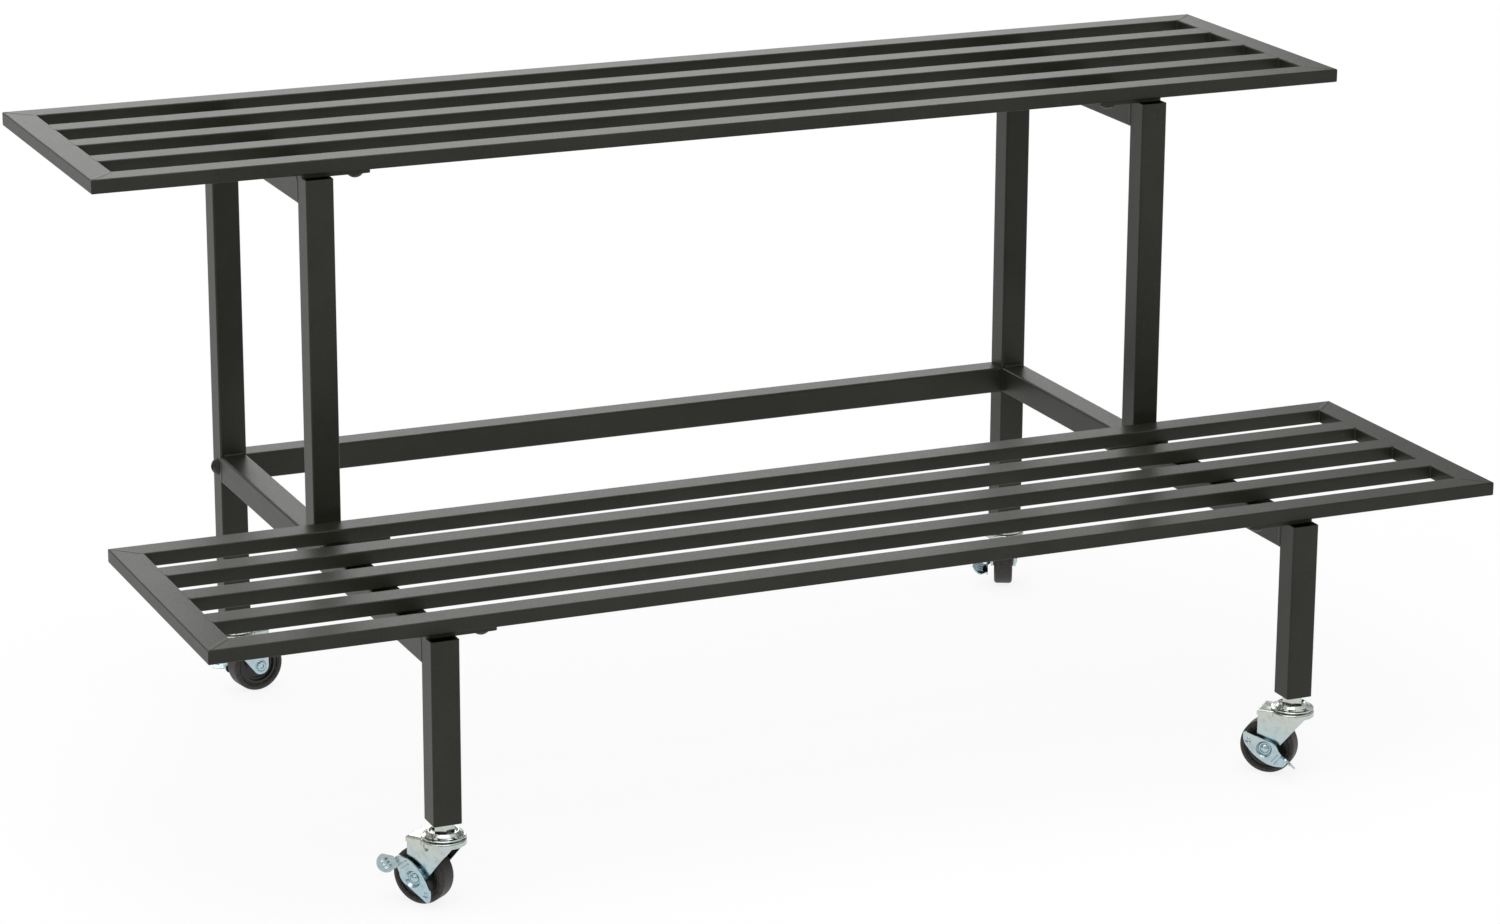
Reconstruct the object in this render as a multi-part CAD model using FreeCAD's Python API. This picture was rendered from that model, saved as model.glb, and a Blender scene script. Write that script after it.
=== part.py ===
import FreeCAD, Part
import math
import os

# Two-tier stepped plant table of square steel tube on four braked swivel casters.
# X runs along the shelves, Y from the low front tier to the high rear tier, Z up from the floor.
# All lengths are millimetres, all angles degrees.

# The frame: square tube legs, posts and rails.
tube_size = 25.0
tube_wall = 1.5
tube_corner = 2.0
frame_span = 830.0
frame_depth = 600.0
leg_foot_height = 75.0
lower_frame_top = 235.0
upper_frame_top = 555.0
post_front = 300.0

# The shelves: flat tube, five lengthwise members between two end members.
shelf_length = 1200.0
shelf_depth = 290.0
shelf_tube_width = 25.0
shelf_tube_height = 12.5
shelf_tube_wall = 1.2
shelf_tube_corner = 1.2
slat_count = 3
shelf_gap = 1.0

# Tab plates between frame and shelf, and their bolts.
tab_length = 62.0
tab_width = 22.0
tab_thickness = 3.0
tab_corner = 3.0
bolt_head_diameter = 16.0
bolt_head_height = 5.5
bolt_shank_diameter = 6.0
bolt_reach = 6.0
bolt_hole_clearance = 0.2
bolt_inset = 26.0
socket_diameter = 5.0
socket_depth = 2.5
rail_bolt_reach = 12.0

# The foot socket pressed into each leg's lower end.
socket_height = 26.0
socket_fit = 0.1

# The caster: heights above the floor and sizes round the swivel axis.
wheel_diameter = 50.0
tread_width = 18.0
tread_shoulder = 3.0
tyre_thickness = 6.5
tyre_groove_width = 1.2
tyre_groove_depth = 0.6
hub_rim_width = 15.0
hub_rim_thickness = 2.6
hub_web_width = 8.0
hub_boss_diameter = 15.0
axle_diameter = 6.0
trail = 20.0
running_clearance = 0.05
side_clearance = 0.3
sheet = 2.0
cheek_gap = 21.0
cheek_end_radius = 8.0
cheek_lead_reach = 15.0
cheek_flare = 5.5
cheek_flare_half_width = 15.0
cheek_curve_steps = 12
crown_diameter = 39.0
crown_top = 61.0
crown_height = 5.0
crown_lip = 0.8
crown_edge_radius = 1.9
race_diameter = 38.0
race_rim_gap = 1.2
race_rim = 1.3
race_rim_edge = 0.4
race_slope = 1.6
race_collar_diameter = 27.0
race_collar_width = 1.6
race_collar_rise = 1.7
race_seat_diameter = 21.4
race_sheet = 2.0
king_pin_diameter = 10.0
king_shoulder_diameter = 16.0
washer_diameter = 20.0
washer_thickness = 2.0
rivet_head_diameter = 14.0
rivet_head_height = 2.2
nut_flats = 17.0
nut_height = 9.5
nut_chamfer = 1.0
stem_rise = 22.0
stem_chamfer = 1.0
axle_head_diameter = 9.0
axle_head_height = 1.6
axle_head_dimple = 4.6
axle_dome_height = 2.3

# The brake lever on the caster's side.
lever_sheet = 1.5
lever_plane = 17.0
lever_reach = 23.6
lever_half_height = 10.4
lever_dish_diameter = 15.0
lever_dish_floor = 11.0
lever_dimple_diameter = 7.0
lever_dimple_depth = 0.7
lever_dimple_out = 16.2
lever_dimple_up = 2.8
lever_button_diameter = 4.0
lever_button_height = 0.9
lever_fold_start = 12.5
lever_fold_pitch = 3.4
lever_fold_radius = 0.7
lever_fold_count = 2
lever_fold_height = 9.0
pedal_start = 15.5
pedal_root_end = 25.0
pedal_end = 31.5
pedal_reach = 17.0
pedal_root = 5.8
pedal_lean = 28.0
# Outline of the lever plate: places along it and across it, as shares of its reach and half height.
lever_outline_shares = (
    (-0.98, -0.09), (-0.51, -0.46), (-0.04, -0.84), (0.19, -0.98), (0.45, -0.79), (0.68, -0.67),
    (0.91, -0.56), (1.0, -0.19), (0.92, 0.19), (0.65, 0.64), (0.30, 0.92), (-0.14, 1.0), (-0.51, 0.87),
    (-0.79, 0.63), (-0.96, 0.25), (-1.0, 0.06))
# Outline of the pedal's free edge: places along it and outward, as shares of its length and reach.
pedal_outline_shares = ((1.0, 0.42), (0.9, 0.82), (0.5, 1.0), (0.1, 0.82), (0.0, 0.42))
# How far the cheek bulges at each height between the foot and the crown, and how the bulge fades.
cheek_level_shares = ((0.42, 0.0), (0.54, 0.05), (0.66, 0.14), (0.78, 0.28), (0.90, 0.58), (1.0, 1.0))

overrun = 1.0

# Rest angles: direction in which each caster trails, and how high its pedal end points from there.
caster_trail_angle = {"front_left": 128.0, "front_right": 134.0, "rear_left": 11.0, "rear_right": 64.0}
lever_angle = {"front_left": 52.0, "front_right": 217.0, "rear_left": 205.0, "rear_right": 208.0}
lever_free_angle = 52.0
lever_braked_angle = 217.0

# Places worked out from the sizes above.
half_span = frame_span / 2
leg_centre = half_span - tube_size / 2
rail_bottom_low = lower_frame_top - tube_size
rail_bottom_high = upper_frame_top - tube_size
rear_face = frame_depth - tube_size
lower_shelf_front = post_front - shelf_gap - shelf_depth
upper_shelf_front = frame_depth - shelf_gap - shelf_depth
lower_shelf_bottom = lower_frame_top + tab_thickness
upper_shelf_bottom = upper_frame_top + tab_thickness
half_shelf = shelf_length / 2
slat_pitch = (shelf_depth - shelf_tube_width) / (slat_count + 1)
wheel_radius = wheel_diameter / 2
axle_radius = axle_diameter / 2
crown_bottom = crown_top - crown_height
crown_plate = crown_top - sheet
cheek_inner = cheek_gap / 2
cheek_outer = cheek_inner + sheet
shoulder_bottom = crown_top + side_clearance
race_bottom = crown_top + race_rim_gap
race_seat = leg_foot_height - nut_height
race_top = race_seat + race_collar_rise
lever_inner = lever_plane - lever_sheet
dish_floor_outer = cheek_outer + side_clearance + lever_sheet

origin = FreeCAD.Vector(0, 0, 0)
axis_x = FreeCAD.Vector(1, 0, 0)
axis_y = FreeCAD.Vector(0, 1, 0)
axis_z = FreeCAD.Vector(0, 0, 1)
full_turn = 360.0
quarter_turn = 90.0
hexagon_sides = 6


def box(x0, x1, y0, y1, z0, z1):
    """A block between two corners."""
    return Part.makeBox(x1 - x0, y1 - y0, z1 - z0, FreeCAD.Vector(x0, y0, z0))


def rounded_wire(width, height, radius):
    """A rectangle with round corners about the origin, lying in the XY plane."""
    a = width / 2
    b = height / 2
    c = radius * (1 - math.sqrt(0.5))
    corners = ((a, b, -1, -1), (-a, b, 1, -1), (-a, -b, 1, 1), (a, -b, -1, 1))
    edges = []
    ends = []
    for x, y, sx, sy in corners:
        along = FreeCAD.Vector(x + sx * radius, y, 0)
        across = FreeCAD.Vector(x, y + sy * radius, 0)
        middle = FreeCAD.Vector(x + sx * c, y + sy * c, 0)
        if sx * sy > 0:
            start, end = across, along
        else:
            start, end = along, across
        ends.append((start, end))
        edges.append(Part.Arc(start, middle, end).toShape())
    for i in range(len(ends)):
        start = ends[i][1]
        end = ends[(i + 1) % len(ends)][0]
        edges.append(Part.LineSegment(start, end).toShape())
    return Part.Wire(Part.__sortEdges__(edges))


def tube(width, height, wall, corner, length):
    """A hollow rectangular tube along Z from the origin."""
    outer = Part.Face(rounded_wire(width, height, corner)).extrude(axis_z * length)
    inner_corner = max(corner - wall, corner / 4)
    inner = rounded_wire(width - 2 * wall, height - 2 * wall, inner_corner)
    core = Part.Face(inner).extrude(axis_z * (length + 2 * overrun))
    core.translate(axis_z * -overrun)
    return outer.cut(core)


def upright(x, y, z0, z1):
    """A frame tube standing at a centre point."""
    shape = tube(tube_size, tube_size, tube_wall, tube_corner, z1 - z0)
    shape.translate(FreeCAD.Vector(x, y, z0))
    return shape


def rail_along_y(x, z0, y0, y1):
    """A frame tube running front to back."""
    shape = tube(tube_size, tube_size, tube_wall, tube_corner, y1 - y0)
    shape.rotate(origin, axis_x, -quarter_turn)
    shape.translate(FreeCAD.Vector(x, y0, z0 + tube_size / 2))
    return shape


def rail_along_x(y, z0, x0, x1):
    """A frame tube running left to right."""
    shape = tube(tube_size, tube_size, tube_wall, tube_corner, x1 - x0)
    shape.rotate(origin, axis_y, quarter_turn)
    shape.translate(FreeCAD.Vector(x0, y, z0 + tube_size / 2))
    return shape


def drill(shape, place, direction, diameter, depth):
    """Cut a round hole that starts one overrun before its place."""
    start = place - direction * overrun
    hole = Part.makeCylinder(diameter / 2, depth + 2 * overrun, start, direction)
    return shape.cut(hole)


def frame_parts():
    """Legs, posts, side rails, cross rails and the rear rail, with their bolt holes."""
    parts = {}
    hole = bolt_shank_diameter + 2 * bolt_hole_clearance
    for side, sign in (("left", -1), ("right", 1)):
        x = sign * leg_centre
        front = tube_size / 2
        middle = post_front + tube_size / 2
        rear = frame_depth - tube_size / 2
        parts["front_leg_" + side] = upright(x, front, leg_foot_height, lower_frame_top)
        parts["middle_post_" + side] = upright(x, middle, lower_frame_top, upper_frame_top)
        leg = upright(x, rear, leg_foot_height, upper_frame_top)
        bolt_place = FreeCAD.Vector(x - tube_size / 2, rear, rail_bottom_low + tube_size / 2)
        parts["rear_leg_" + side] = drill(leg, bolt_place, axis_x, hole, tube_size)
        parts["side_rail_" + side] = rail_along_y(x, rail_bottom_low, tube_size, rear_face)
        cross_start = post_front + tube_size
        parts["cross_rail_" + side] = rail_along_y(x, rail_bottom_high, cross_start, rear_face)
    inside = half_span - tube_size
    rail = rail_along_x(rear_face + tube_size / 2, rail_bottom_low, -inside, inside)
    parts["rear_rail"] = rail
    return parts


def shelf_tube_x(y_front, z0, x0, x1):
    """A flat shelf tube running left to right."""
    shape = tube(shelf_tube_height, shelf_tube_width, shelf_tube_wall, shelf_tube_corner, x1 - x0)
    shape.rotate(origin, axis_y, quarter_turn)
    shape.translate(FreeCAD.Vector(x0, y_front + shelf_tube_width / 2, z0 + shelf_tube_height / 2))
    return shape


def shelf_tube_y(x_low, z0, y0, y1):
    """A flat shelf tube running front to back."""
    shape = tube(shelf_tube_width, shelf_tube_height, shelf_tube_wall, shelf_tube_corner, y1 - y0)
    shape.rotate(origin, axis_x, -quarter_turn)
    shape.translate(FreeCAD.Vector(x_low + shelf_tube_width / 2, y0, z0 + shelf_tube_height / 2))
    return shape


def plan_prism(points, z0, z1):
    """A straight prism over a polygon seen from above."""
    ring = [FreeCAD.Vector(x, y, z0) for x, y in points]
    face = Part.Face(Part.makePolygon(ring + ring[:1]))
    return face.extrude(axis_z * (z1 - z0))


def tab_centres(y_front):
    """Plan places of a shelf's four tab bolts and the Y of its tab rows."""
    rows = (y_front + shelf_tube_width / 2, y_front + shelf_depth - shelf_tube_width / 2)
    x = half_span - tube_size - bolt_inset
    return [(sign * x, y) for sign in (-1, 1) for y in rows]


def shelf_parts(name, y_front, z0):
    """One shelf: mitred outer frame with three slats welded between the end members."""
    parts = {}
    y_back = y_front + shelf_depth
    w = shelf_tube_width
    low = z0 - overrun
    high = z0 + shelf_tube_height + overrun
    front_plan = ((-half_shelf, y_front), (half_shelf, y_front), (half_shelf - w, y_front + w),
                  (-half_shelf + w, y_front + w))
    back_plan = ((-half_shelf, y_back), (half_shelf, y_back), (half_shelf - w, y_back - w),
                 (-half_shelf + w, y_back - w))
    left_plan = ((-half_shelf, y_front), (-half_shelf + w, y_front + w), (-half_shelf + w, y_back - w),
                 (-half_shelf, y_back))
    right_plan = ((half_shelf, y_front), (half_shelf - w, y_front + w), (half_shelf - w, y_back - w),
                  (half_shelf, y_back))
    front = shelf_tube_x(y_front, z0, -half_shelf, half_shelf).common(plan_prism(front_plan, low, high))
    back = shelf_tube_x(y_back - w, z0, -half_shelf, half_shelf).common(plan_prism(back_plan, low, high))
    left = shelf_tube_y(-half_shelf, z0, y_front, y_back).common(plan_prism(left_plan, low, high))
    right = shelf_tube_y(half_shelf - w, z0, y_front, y_back).common(plan_prism(right_plan, low, high))
    hole = bolt_shank_diameter + 2 * bolt_hole_clearance
    for x, y in tab_centres(y_front):
        place = FreeCAD.Vector(x, y, z0)
        if y < y_front + w:
            front = drill(front, place, axis_z, hole, shelf_tube_wall)
        else:
            back = drill(back, place, axis_z, hole, shelf_tube_wall)
    parts[name + "_front_rail"] = front
    parts[name + "_back_rail"] = back
    parts[name + "_left_end"] = left
    parts[name + "_right_end"] = right
    for i in range(slat_count):
        y = y_front + (i + 1) * slat_pitch
        slat = shelf_tube_x(y, z0, -half_shelf + w, half_shelf - w)
        parts[name + "_slat_%d" % (i + 1)] = slat
    return parts


def dome_bolt(reach):
    """A dome-head bolt: shank up from the origin, head below it, with a driver socket."""
    head_radius = bolt_head_diameter / 2
    crown_radius = (head_radius ** 2 + bolt_head_height ** 2) / (2 * bolt_head_height)
    centre = FreeCAD.Vector(0, 0, crown_radius - bolt_head_height)
    ball = Part.makeSphere(crown_radius, centre)
    keep = Part.makeCylinder(head_radius + overrun, bolt_head_height + overrun, origin, -axis_z)
    head = ball.common(keep)
    shank = Part.makeCylinder(bolt_shank_diameter / 2, reach, origin, axis_z)
    key = Part.makeCylinder(socket_diameter / 2, socket_depth + overrun,
                            -axis_z * (bolt_head_height + overrun), axis_z)
    return head.fuse(shank).removeSplitter().cut(key)


def tab_plate(side, y, z0):
    """One tab plate reaching inward from a rail's outer face."""
    x0 = half_span - tab_length
    centre = FreeCAD.Vector((x0 + half_span) / 2, y, z0)
    plate = Part.Face(rounded_wire(tab_length, tab_width, tab_corner)).extrude(axis_z * tab_thickness)
    plate.translate(centre)
    hole_x = half_span - tube_size - bolt_inset
    hole = bolt_shank_diameter + 2 * bolt_hole_clearance
    plate = drill(plate, FreeCAD.Vector(hole_x, y, z0), axis_z, hole, tab_thickness)
    if side < 0:
        plate = plate.mirror(origin, axis_x)
    return plate


def fixings(name, y_front, z0):
    """The tab plates and bolts of one shelf."""
    tabs = []
    bolts = []
    for x, y in tab_centres(y_front):
        tabs.append(tab_plate(math.copysign(1, x), y, z0))
        bolt = dome_bolt(tab_thickness + shelf_tube_wall + bolt_reach)
        bolt.translate(FreeCAD.Vector(x, y, z0))
        bolts.append(bolt)
    return {name + "_tabs": Part.makeCompound(tabs), name + "_shelf_bolts": Part.makeCompound(bolts)}


def rear_rail_bolts():
    """A bolt through each rear leg into the end of the rear rail."""
    bolts = []
    for sign in (-1, 1):
        bolt = dome_bolt(tube_size + rail_bolt_reach)
        bolt.rotate(origin, axis_y, -sign * quarter_turn)
        bolt.translate(FreeCAD.Vector(sign * half_span, rear_face + tube_size / 2,
                                      rail_bottom_low + tube_size / 2))
        bolts.append(bolt)
    return Part.makeCompound(bolts)


def leg_sockets(places):
    """The plugs in the legs' lower ends that take the caster stems."""
    side = tube_size - 2 * tube_wall - 2 * socket_fit
    corner = tube_corner / 2
    plugs = []
    for x, y in places:
        plug = Part.Face(rounded_wire(side, side, corner)).extrude(axis_z * socket_height)
        plug = drill(plug, origin, axis_z, king_pin_diameter + 2 * running_clearance, socket_height)
        plug.translate(FreeCAD.Vector(x, y, leg_foot_height))
        plugs.append(plug)
    return Part.makeCompound(plugs)


def revolve(points, place, direction):
    """Turn an outline of (radius, height) points about Z, then lay Z along a direction."""
    ring = [FreeCAD.Vector(r, 0, h) for r, h in points]
    face = Part.Face(Part.makePolygon(ring + ring[:1]))
    shape = face.revolve(origin, axis_z, full_turn)
    turn = FreeCAD.Rotation(axis_z, direction)
    shape.Placement = FreeCAD.Placement(place, turn)
    return shape


def caster_stem():
    """Threaded stem, ridged upper race, king pin and the riveted washer under the fork."""
    pin = king_pin_diameter / 2
    shoulder = king_shoulder_diameter / 2
    race = race_diameter / 2
    collar = race_collar_diameter / 2
    ridge = collar - race_collar_width
    seat = race_seat_diameter / 2
    washer = washer_diameter / 2
    head = rivet_head_diameter / 2
    top = leg_foot_height + stem_rise
    under = crown_plate - side_clearance
    head_top = under - washer_thickness
    head_bottom = head_top - rivet_head_height
    rim_top = race_bottom + race_rim
    foot = rim_top + race_slope
    edge = race_rim_edge
    points = (
        (0, top), (pin - stem_chamfer, top), (pin, top - stem_chamfer), (pin, race_seat), (seat, race_seat),
        (ridge, race_top - edge), (ridge + edge, race_top), (collar - edge, race_top),
        (collar, race_top - edge), (collar + race_slope, foot), (race - race_sheet, rim_top + edge),
        (race - edge, rim_top), (race, rim_top - edge), (race, race_bottom + edge),
        (race - edge, race_bottom),
        (race - race_sheet, race_bottom), (collar, race_seat - race_sheet),
        (shoulder, race_seat - race_sheet), (shoulder, shoulder_bottom), (pin, shoulder_bottom), (pin, under),
        (washer, under), (washer, head_top), (head, head_top), (head, head_top - rivet_head_height / 2),
        (head - rivet_head_height / 2, head_bottom), (0, head_bottom))
    return revolve(points, origin, axis_z)


def caster_nut():
    """Hexagon lock nut under the leg, its corners chamfered at both ends."""
    radius = nut_flats / math.sqrt(3)
    ring = []
    for i in range(hexagon_sides):
        angle = math.radians(i * full_turn / hexagon_sides)
        ring.append(FreeCAD.Vector(radius * math.cos(angle), radius * math.sin(angle), race_seat))
    body = Part.Face(Part.makePolygon(ring + ring[:1])).extrude(axis_z * nut_height)
    top = race_seat + nut_height
    outline = ((0, race_seat), (radius - nut_chamfer, race_seat), (radius, race_seat + nut_chamfer / 2),
               (radius, top - nut_chamfer / 2), (radius - nut_chamfer, top), (0, top))
    body = body.common(revolve(outline, origin, axis_z))
    return drill(body, axis_z * race_seat, axis_z, king_pin_diameter, nut_height)


def cheek_profile():
    """Side outline of a fork cheek: upright back edge, round foot and raked front edge."""
    r = cheek_end_radius
    start = (-cheek_lead_reach, crown_bottom)
    dx = start[0] - trail
    dz = start[1] - wheel_radius
    reach = math.hypot(dx, dz)
    tangent = math.atan2(dz, dx) + math.acos(r / reach)
    low = -math.pi / 2
    foot = (trail + r * math.cos(tangent), wheel_radius + r * math.sin(tangent))
    bottom = (trail + r * math.cos(low), wheel_radius + r * math.sin(low))
    back = trail + r

    def point(x, z):
        return FreeCAD.Vector(x, -cheek_outer, z)

    edges = [
        Part.LineSegment(point(back, crown_top), point(back, wheel_radius)).toShape(),
        Part.Arc(point(back, wheel_radius), point(*bottom), point(*foot)).toShape(),
        Part.LineSegment(point(*foot), point(*start)).toShape(),
        Part.LineSegment(point(*start), point(start[0], crown_top)).toShape(),
        Part.LineSegment(point(start[0], crown_top), point(back, crown_top)).toShape()]
    return Part.Face(Part.Wire(edges))


def crown(radius, half_width, reach, z0, z1):
    """The fork's head seen from above: a disc with a straight tongue over the wheel."""
    disc = Part.makeCylinder(radius, z1 - z0, FreeCAD.Vector(0, 0, z0), axis_z)
    tongue = box(0, reach, -half_width, half_width, z0, z1)
    return disc.fuse(tongue).removeSplitter()


def cheek_section(height, bulge):
    """Plan outline of one cheek at one height: it swells out to meet the round crown."""
    start = -cheek_lead_reach - overrun
    end = trail + cheek_end_radius + overrun
    rows = []
    for y in (cheek_outer, cheek_inner):
        row = []
        for i in range(cheek_curve_steps + 1):
            x = start + (end - start) * i / cheek_curve_steps
            share = min(abs(x) / cheek_flare_half_width, 1.0)
            row.append(FreeCAD.Vector(x, y + bulge * math.cos(share * math.pi / 2) ** 2, height))
        rows.append(row)
    curves = []
    for row in rows:
        curve = Part.BSplineCurve()
        curve.interpolate(row)
        curves.append(curve.toShape())
    ends = [Part.LineSegment(rows[0][-1], rows[1][-1]).toShape(),
            Part.LineSegment(rows[1][0], rows[0][0]).toShape()]
    return Part.Wire([curves[0], ends[0], curves[1], ends[1]])


def cheek():
    """One fork cheek: flat round the axle, flared towards the crown."""
    levels = [(crown_plate * height, bulge * cheek_flare) for height, bulge in cheek_level_shares]
    flare = Part.makeLoft([cheek_section(height, bulge) for height, bulge in levels], True, False)
    start = -cheek_lead_reach - overrun
    end = trail + cheek_end_radius + overrun
    plate = box(start, end, cheek_inner, cheek_outer, wheel_radius - cheek_end_radius - overrun, levels[0][0])
    top = Part.Face(cheek_section(crown_plate, cheek_flare)).extrude(axis_z * (sheet / 2))
    return plate.fuse([flare, top])


def caster_fork():
    """Pressed fork: rimmed crown, two flared cheeks, king pin hole and axle holes."""
    radius = crown_diameter / 2
    reach = trail + cheek_end_radius
    half = cheek_outer + crown_lip
    head = crown(radius, half, reach + crown_lip, crown_bottom, crown_top)
    rim = [e for e in head.Edges if abs(e.CenterOfMass.z - crown_top) < crown_edge_radius / 4]
    head = head.makeFillet(crown_edge_radius, rim)
    hollow = crown(radius - sheet, half - sheet, reach + crown_lip - sheet, crown_bottom - overrun,
                   crown_plate)
    head = head.cut(hollow)
    side = cheek_profile()
    side.translate(axis_y * (cheek_outer - radius))
    side = side.extrude(axis_y * (2 * radius))
    blank = cheek()
    cheeks = [blank.common(side), blank.mirror(origin, axis_y).common(side)]
    fork = head.fuse(cheeks)
    fork = drill(fork, axis_z * crown_plate, axis_z, king_pin_diameter + 2 * running_clearance, sheet)
    axle_hole = Part.makeCylinder(axle_radius, 2 * cheek_outer + 2 * overrun,
                                  FreeCAD.Vector(trail, -cheek_outer - overrun, wheel_radius), axis_y)
    return fork.cut(axle_hole).removeSplitter()


def caster_axle():
    """Riveted axle: rolled ring head on the plain side, domed head in the lever's dish."""
    r = axle_radius
    head = axle_head_diameter / 2
    dimple = axle_head_dimple / 2
    dome_start = dish_floor_outer + side_clearance
    length = cheek_outer + dome_start
    dome = (head ** 2 + axle_dome_height ** 2) / (2 * axle_dome_height)
    body = Part.makeCylinder(r, length, FreeCAD.Vector(trail, -cheek_outer, wheel_radius), axis_y)
    ball_place = FreeCAD.Vector(trail, dome_start + axle_dome_height - dome, wheel_radius)
    face_place = FreeCAD.Vector(trail, dome_start, wheel_radius)
    keep = Part.makeCylinder(head + overrun, axle_dome_height + overrun, face_place, axis_y)
    cap = Part.makeSphere(dome, ball_place).common(keep)
    ring = ((0, 0), (head - axle_head_height / 4, 0), (head, axle_head_height / 3),
            (head - axle_head_height / 3, axle_head_height), (dimple, axle_head_height),
            (dimple - axle_head_height / 3, axle_head_height / 3), (0, axle_head_height / 3))
    place = FreeCAD.Vector(trail, -cheek_outer, wheel_radius)
    roll = revolve(ring, place, -axis_y)
    return body.fuse([cap, roll]).removeSplitter()


def caster_tyre():
    """Rubber tyre: round shoulders and a fine groove round each side."""
    outer = wheel_radius
    inner = wheel_radius - tyre_thickness
    half = tread_width / 2
    rim = hub_rim_width / 2
    s = tread_shoulder
    mid = s * (1 - math.sqrt(0.5))
    groove = (inner + outer - s) / 2
    g = tyre_groove_width / 2
    floor = half - tyre_groove_depth

    def point(radius, height):
        return FreeCAD.Vector(radius, 0, height)

    edges = [
        Part.LineSegment(point(inner, -rim), point(inner, rim)).toShape(),
        Part.LineSegment(point(inner, rim), point(inner + g, half)).toShape(),
        Part.LineSegment(point(inner + g, half), point(groove - g, half)).toShape(),
        Part.LineSegment(point(groove - g, half), point(groove, floor)).toShape(),
        Part.LineSegment(point(groove, floor), point(groove + g, half)).toShape(),
        Part.LineSegment(point(groove + g, half), point(outer - s, half)).toShape(),
        Part.Arc(point(outer - s, half), point(outer - mid, half - mid), point(outer, half - s)).toShape(),
        Part.LineSegment(point(outer, half - s), point(outer, s - half)).toShape(),
        Part.Arc(point(outer, s - half), point(outer - mid, mid - half), point(outer - s, -half)).toShape(),
        Part.LineSegment(point(outer - s, -half), point(groove + g, -half)).toShape(),
        Part.LineSegment(point(groove + g, -half), point(groove, -floor)).toShape(),
        Part.LineSegment(point(groove, -floor), point(groove - g, -half)).toShape(),
        Part.LineSegment(point(groove - g, -half), point(inner + g, -half)).toShape(),
        Part.LineSegment(point(inner + g, -half), point(inner, -rim)).toShape()]
    tyre = Part.Face(Part.Wire(edges)).revolve(origin, axis_z, full_turn)
    tyre.Placement = FreeCAD.Placement(FreeCAD.Vector(trail, 0, wheel_radius), FreeCAD.Rotation(axis_z, axis_y))
    return tyre


def caster_hub():
    """Moulded hub: rim ring, thin stepped web and a long bored boss."""
    outer = wheel_radius - tyre_thickness
    rim = hub_rim_width / 2
    web = hub_web_width / 2
    boss = hub_boss_diameter / 2
    bore = axle_radius + running_clearance
    boss_half = cheek_inner - side_clearance
    inner = outer - hub_rim_thickness
    step = (inner - boss) / 3
    lift = (rim - web) / 3
    upper = ((outer, rim), (inner, rim), (inner, web + lift), (inner - step, web + lift), (inner - step, web),
             (boss + step, web), (boss, web + lift), (boss, boss_half), (bore, boss_half))
    lower = tuple((r, -h) for r, h in reversed(upper))
    place = FreeCAD.Vector(trail, 0, wheel_radius)
    return revolve(upper + lower, place, axis_y)


def lever_outline():
    """The lever plate's outline in its inner plane, pedal end towards +X."""
    points = [FreeCAD.Vector(x * lever_reach, lever_inner, z * lever_half_height)
              for x, z in lever_outline_shares]
    edges = []
    for i in range(0, len(points), 2):
        end = points[(i + 2) % len(points)]
        edges.append(Part.Arc(points[i], points[i + 1], end).toShape())
    return Part.Face(Part.Wire(edges))


def pedal():
    """The pedal: a round-ended tongue bent out from the plate's lower edge."""
    length = pedal_end - pedal_start
    points = [FreeCAD.Vector(pedal_root_end, 0, 0)]
    for along, out in pedal_outline_shares:
        points.append(FreeCAD.Vector(pedal_start + along * length, out * pedal_reach, 0))
    points.append(FreeCAD.Vector(pedal_start, 0, 0))
    curve = Part.BSplineCurve()
    curve.interpolate(points[1:-1])
    edges = [Part.LineSegment(points[0], points[1]).toShape(), curve.toShape(),
             Part.LineSegment(points[-2], points[-1]).toShape(),
             Part.LineSegment(points[-1], points[0]).toShape()]
    tongue = Part.Face(Part.Wire(edges)).extrude(axis_z * lever_sheet)
    tongue.rotate(origin, axis_x, -pedal_lean)
    tongue.translate(FreeCAD.Vector(0, lever_inner, -pedal_root))
    return tongue


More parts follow.
